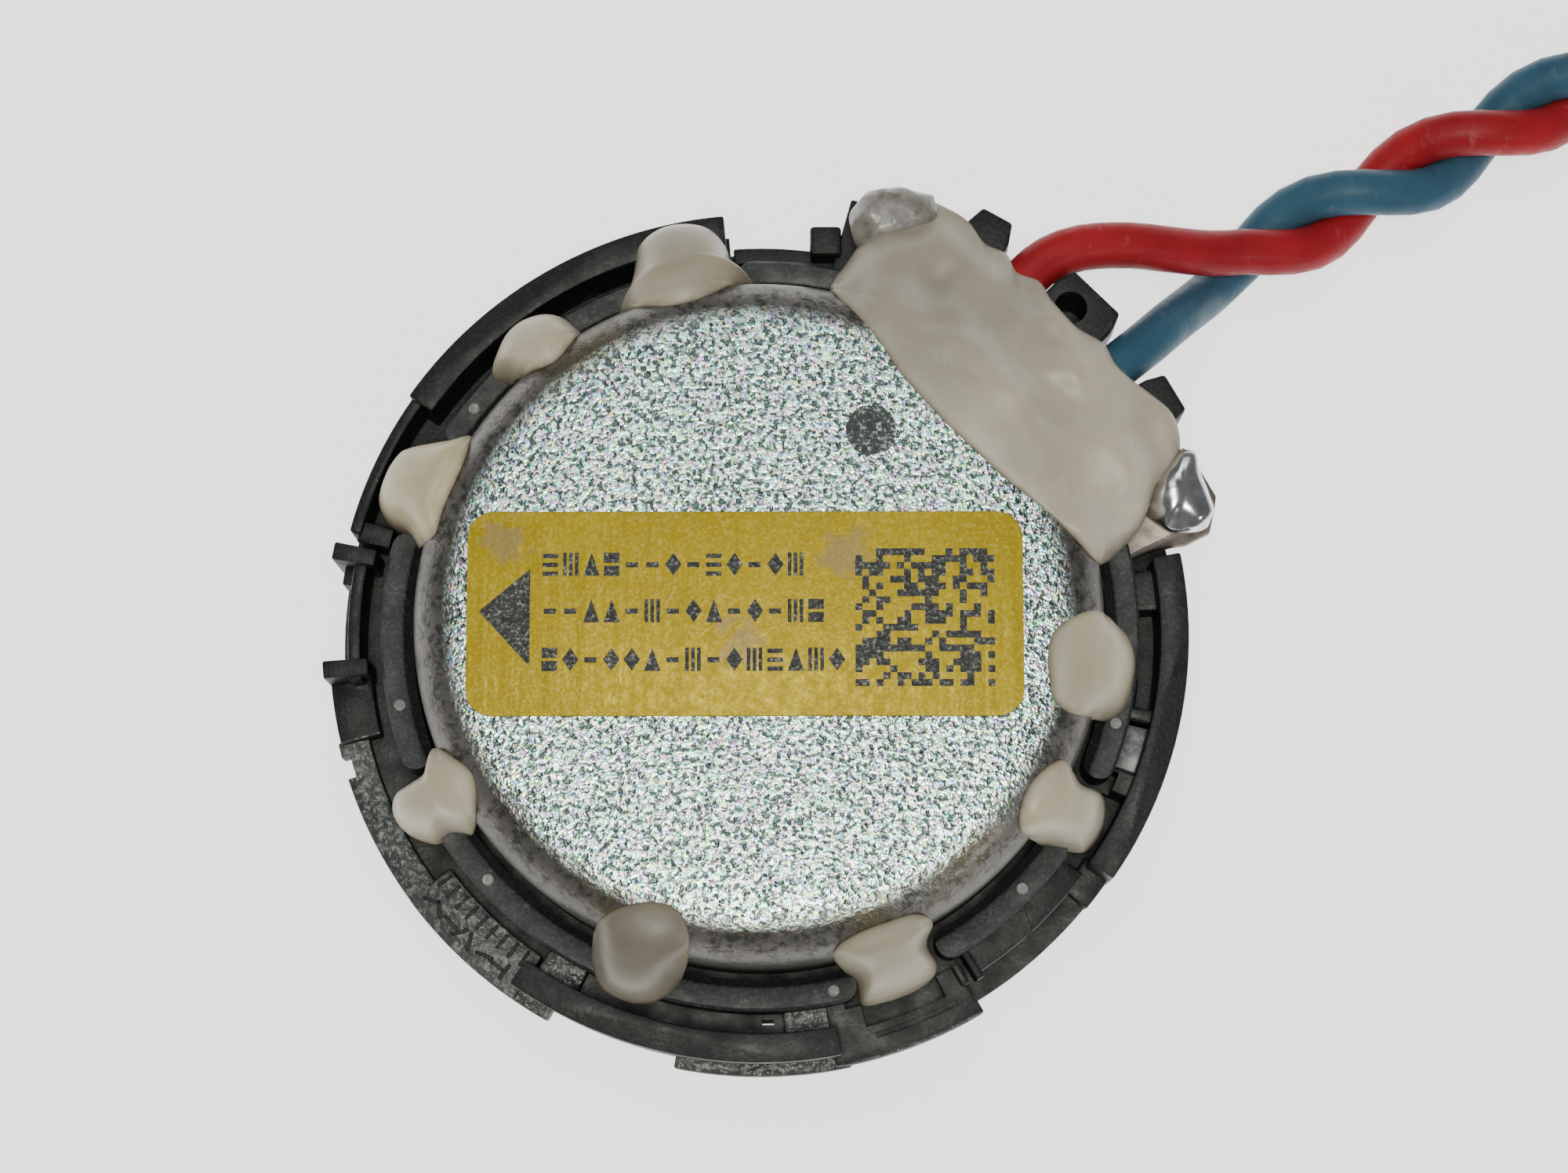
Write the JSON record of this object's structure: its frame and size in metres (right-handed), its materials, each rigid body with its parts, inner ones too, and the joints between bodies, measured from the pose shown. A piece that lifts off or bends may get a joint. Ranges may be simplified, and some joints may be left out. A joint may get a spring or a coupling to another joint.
{
  "type": "moving-coil tweeter drive unit",
  "caption": "Small dome tweeter seen from its steel magnet cup, glued in a moulded frame with solder terminals, potting and a twisted lead to a plug.",
  "frame": {"origin": "on the drive unit's axis, at the front face of the gasket it lies on", "axes": "+Z along the axis out of the back (magnet side), +X towards the label's end where the leads leave, +Y across it so that the leads leave between +X and +Y"},
  "size_m": [0.0931, 0.0577, 0.0135],
  "materials": {
    "black_plastic": "moulded, satin",
    "foam": "closed-cell foam",
    "zinc_steel": "zinc plated, orange peel",
    "nickel_magnet": "nickel plated sintered neodymium",
    "felt": "felt",
    "former_film": "amber film",
    "enamelled_copper": "enamelled",
    "coated_silk": "doped weave",
    "tinned_brass": "tinned",
    "solder": "bright solder",
    "cream_glue": "cured cream adhesive",
    "clear_glue": "cloudy clear adhesive",
    "gold_foil": null,
    "black_ink": "paint dot",
    "red_insulation": "satin vinyl",
    "blue_insulation": "satin vinyl",
    "plug_plastic": "moulded",
    "lock_plastic": "moulded"
  },
  "bodies": {
    "frame": {"chassis_frame": "black_plastic", "front_grille": "black_plastic", "front_gasket": "foam", "diaphragm_ring": "black_plastic", "surround": "coated_silk", "magnet_cup": "zinc_steel", "magnet_disc": "nickel_magnet", "top_plate": "zinc_steel", "damping_pad": "felt", "coil_lead_out_upper": "enamelled_copper", "coil_lead_out_lower": "enamelled_copper", "terminal_lug_upper": "tinned_brass", "terminal_lug_lower": "tinned_brass", "solder_joint_upper": "solder", "solder_joint_lower": "solder", "potting_bead": "cream_glue", "potting_lump": "clear_glue", "adhesive_dot_1": "cream_glue", "adhesive_dot_2": "cream_glue", "adhesive_dot_3": "cream_glue", "adhesive_dot_4": "cream_glue", "adhesive_dot_5": "cream_glue", "adhesive_dot_6": "cream_glue", "adhesive_dot_7": "cream_glue", "adhesive_dot_8": "cream_glue", "rear_label": "gold_foil", "ink_dot": "black_ink", "bared_end_red": "tinned_brass", "bared_end_blue": "tinned_brass", "lead_red": "red_insulation", "lead_blue": "blue_insulation", "lead_twisted_pair": "red_insulation", "connector_housing": "plug_plastic", "connector_lock": "lock_plastic", "connector_pin_red": "tinned_brass", "connector_pin_blue": "tinned_brass"},
    "diaphragm": {"dome_diaphragm": "coated_silk", "voice_coil_former": "former_film", "voice_coil_winding": "enamelled_copper"}
  },
  "joints": [
    {"name": "diaphragm_travel", "type": "slide", "parent": "frame", "child": "diaphragm", "axis": [0, 0, 1], "range_m": [-0.0004, 0.0004], "stiffness_N_per_m": 200, "deforming": ["surround"]}
  ]
}
